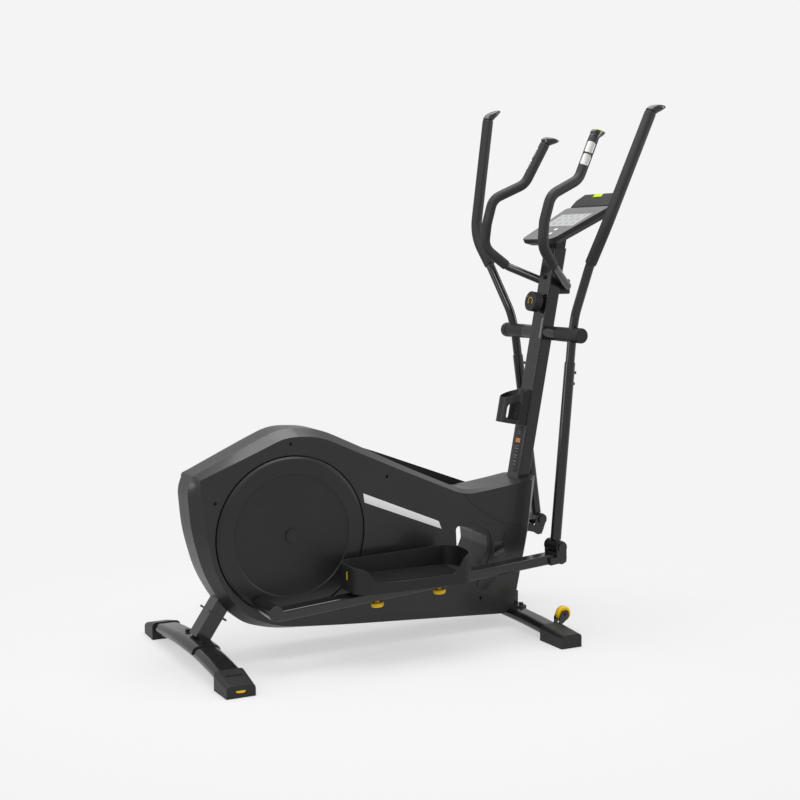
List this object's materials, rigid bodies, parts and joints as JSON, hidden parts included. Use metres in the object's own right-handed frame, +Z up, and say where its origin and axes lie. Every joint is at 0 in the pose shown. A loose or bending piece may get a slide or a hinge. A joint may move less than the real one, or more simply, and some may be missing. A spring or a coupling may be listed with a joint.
{
  "type": "elliptical trainer",
  "caption": "Free-standing elliptical trainer with a rear crank in a dark casing, sliding footplates, swinging and fixed handlebars, a console and a bottle cage.",
  "frame": {"origin": "centre of the machine's bounding box, on the floor", "axes": "+Z up, +X forward from the crank towards the console, +Y to the user's left"},
  "size_m": [1.4702, 0.768, 1.6798],
  "materials": {
    "frame_paint": "gloss",
    "casing_plastic": "satin",
    "black_plastic": "satin",
    "gloss_plastic": "gloss",
    "foam": "matte",
    "yellow_plastic": "gloss",
    "lime_plastic": "satin",
    "steel": "satin",
    "iron": "rough",
    "belt_rubber": "matte",
    "screen": "gloss",
    "face_grey": "gloss",
    "white_print": "matte",
    "sensor": "satin"
  },
  "bodies": {
    "frame": {"main_frame": "frame_paint", "rear_stabiliser": "frame_paint", "front_stabiliser": "frame_paint", "end_caps": "black_plastic", "wheel_brackets": "frame_paint", "casing_right": "casing_plastic", "casing_left": "casing_plastic", "front_shroud": "casing_plastic", "fasteners": "steel", "labels": "white_print", "mast": "frame_paint", "pivot_tube": "frame_paint", "fixed_handlebar": "frame_paint", "fixed_grips": "foam", "fixed_caps": "gloss_plastic", "pulse_plates": "sensor", "handlebar_clamp": "black_plastic", "console_housing": "black_plastic", "console_face": "face_grey", "console_screen": "screen", "tablet_rest": "black_plastic", "bottle_cage": "black_plastic", "crank_bearings": "steel", "drive_belt": "belt_rubber", "brake_unit": "steel"},
    "crank": {"crank_axle": "steel", "crank_arms": "steel", "crank_discs": "black_plastic", "drive_pulley": "black_plastic"},
    "flywheel_body": {"flywheel": "iron"},
    "idler": {"idler_roller": "steel"},
    "dial": {"tension_dial": "black_plastic"},
    "button": {"lime_button": "lime_plastic"},
    "wheel_r": {"transport_wheel_right": "yellow_plastic"},
    "wheel_l": {"transport_wheel_left": "yellow_plastic"},
    "leveller_r": {"levelling_dial_right": "yellow_plastic"},
    "leveller_l": {"levelling_dial_left": "yellow_plastic"},
    "key_1": {"console_key_1": "white_print"},
    "key_2": {"console_key_2": "white_print"},
    "key_3": {"console_key_3": "white_print"},
    "key_4": {"console_key_4": "white_print"},
    "swing_right": {"swing_hub_right": "black_plastic", "swing_upper_right": "frame_paint", "swing_lower_right": "frame_paint", "swing_grip_right": "foam", "swing_cap_right": "gloss_plastic"},
    "pedal_right": {"pedal_arm_right": "frame_paint"},
    "plate_right": {"footplate_right": "black_plastic"},
    "kf_right": {"knob_front_right": "yellow_plastic"},
    "kr_right": {"knob_rear_right": "yellow_plastic"},
    "swing_left": {"swing_hub_left": "black_plastic", "swing_upper_left": "frame_paint", "swing_lower_left": "frame_paint", "swing_grip_left": "foam", "swing_cap_left": "gloss_plastic"},
    "pedal_left": {"pedal_arm_left": "frame_paint"},
    "plate_left": {"footplate_left": "black_plastic"},
    "kf_left": {"knob_front_left": "yellow_plastic"},
    "kr_left": {"knob_rear_left": "yellow_plastic"}
  },
  "joints": [
    {"name": "crank_turn", "type": "hinge", "parent": "frame", "child": "crank", "pos_m": [-0.41906, 0, 0.367], "axis": [0, 1, 0], "continuous": true},
    {"name": "flywheel_turn", "type": "hinge", "parent": "frame", "child": "flywheel_body", "pos_m": [-0.02306, 0, 0.29], "axis": [0, 1, 0], "continuous": true},
    {"name": "idler_turn", "type": "hinge", "parent": "frame", "child": "idler", "pos_m": [-0.20306, 0, 0.2364], "axis": [0, 1, 0], "continuous": true},
    {"name": "swing_right", "type": "hinge", "parent": "frame", "child": "swing_right", "pos_m": [0.50294, 0, 0.936], "axis": [0, 1, 0], "range_deg": [-25.3, 9.2]},
    {"name": "swing_left", "type": "hinge", "parent": "frame", "child": "swing_left", "pos_m": [0.50294, 0, 0.936], "axis": [0, 1, 0], "range_deg": [-9.3, 25.4]},
    {"name": "pedal_right", "type": "hinge", "parent": "swing_right", "child": "pedal_right", "pos_m": [0.42953, -0.2, 0.27577], "axis": [0, 1, 0], "range_deg": [-9.3, 25.4]},
    {"name": "pedal_left", "type": "hinge", "parent": "swing_left", "child": "pedal_left", "pos_m": [0.61596, 0.2, 0.28138], "axis": [0, 1, 0], "range_deg": [-25.4, 9.3]},
    {"name": "footplate_right_slide", "type": "slide", "parent": "pedal_right", "child": "plate_right", "axis": [0.9969, 0, 0.0787], "range_m": [-0.04, 0.04]},
    {"name": "footplate_left_slide", "type": "slide", "parent": "pedal_left", "child": "plate_left", "axis": [0.9522, 0, -0.3056], "range_m": [-0.04, 0.04]},
    {"name": "knob_rear_right_turn", "type": "hinge", "parent": "plate_right", "child": "kr_right", "pos_m": [-0.19709, -0.2, 0.16613], "axis": [0.0787, 0, -0.9969], "continuous": true},
    {"name": "knob_front_right_turn", "type": "hinge", "parent": "plate_right", "child": "kf_right", "pos_m": [0.01191, -0.2, 0.18264], "axis": [0.0787, 0, -0.9969], "continuous": true},
    {"name": "knob_rear_left_turn", "type": "hinge", "parent": "plate_left", "child": "kr_left", "pos_m": [-0.00538, 0.2, 0.41782], "axis": [-0.3056, 0, -0.9522], "continuous": true},
    {"name": "knob_front_left_turn", "type": "hinge", "parent": "plate_left", "child": "kf_left", "pos_m": [0.19424, 0.2, 0.35375], "axis": [-0.3056, 0, -0.9522], "continuous": true},
    {"name": "tension_dial_turn", "type": "hinge", "parent": "frame", "child": "dial", "pos_m": [0.46965, 0, 1.0365], "axis": [-0.9837, 0, 0.1798], "range_deg": [-135, 135]},
    {"name": "console_key_1_press", "type": "slide", "parent": "frame", "child": "key_1", "axis": [0.4695, 0, -0.8829], "range_m": [0, 0.0008], "stiffness_N_per_m": 400},
    {"name": "console_key_2_press", "type": "slide", "parent": "frame", "child": "key_2", "axis": [0.4695, 0, -0.8829], "range_m": [0, 0.0008], "stiffness_N_per_m": 400},
    {"name": "console_key_3_press", "type": "slide", "parent": "frame", "child": "key_3", "axis": [0.4695, 0, -0.8829], "range_m": [0, 0.0008], "stiffness_N_per_m": 400},
    {"name": "console_key_4_press", "type": "slide", "parent": "frame", "child": "key_4", "axis": [0.4695, 0, -0.8829], "range_m": [0, 0.0008], "stiffness_N_per_m": 400},
    {"name": "lime_button_press", "type": "slide", "parent": "frame", "child": "button", "axis": [-0.177, -0.0423, -0.9833], "range_m": [0, 0.0015], "stiffness_N_per_m": 500},
    {"name": "transport_wheel_right_turn", "type": "hinge", "parent": "frame", "child": "wheel_r", "pos_m": [0.42694, -0.25, 0.07], "axis": [0, 1, 0], "continuous": true},
    {"name": "levelling_dial_right_turn", "type": "hinge", "parent": "frame", "child": "leveller_r", "pos_m": [-0.69006, -0.352, 0.017], "axis": [0, 0, 1], "continuous": true},
    {"name": "transport_wheel_left_turn", "type": "hinge", "parent": "frame", "child": "wheel_l", "pos_m": [0.42694, 0.25, 0.07], "axis": [0, 1, 0], "continuous": true},
    {"name": "levelling_dial_left_turn", "type": "hinge", "parent": "frame", "child": "leveller_l", "pos_m": [-0.69006, 0.352, 0.017], "axis": [0, 0, 1], "continuous": true}
  ],
  "couplings": [
    {"joint": "flywheel_turn", "follows": "crank_turn", "ratio": 5.9091},
    {"joint": "idler_turn", "follows": "crank_turn", "ratio": -9.2857},
    {"joint": "swing_left", "follows": "swing_right", "ratio": -1},
    {"joint": "pedal_right", "follows": "swing_right", "ratio": -1},
    {"joint": "pedal_left", "follows": "swing_right", "ratio": 1}
  ]
}
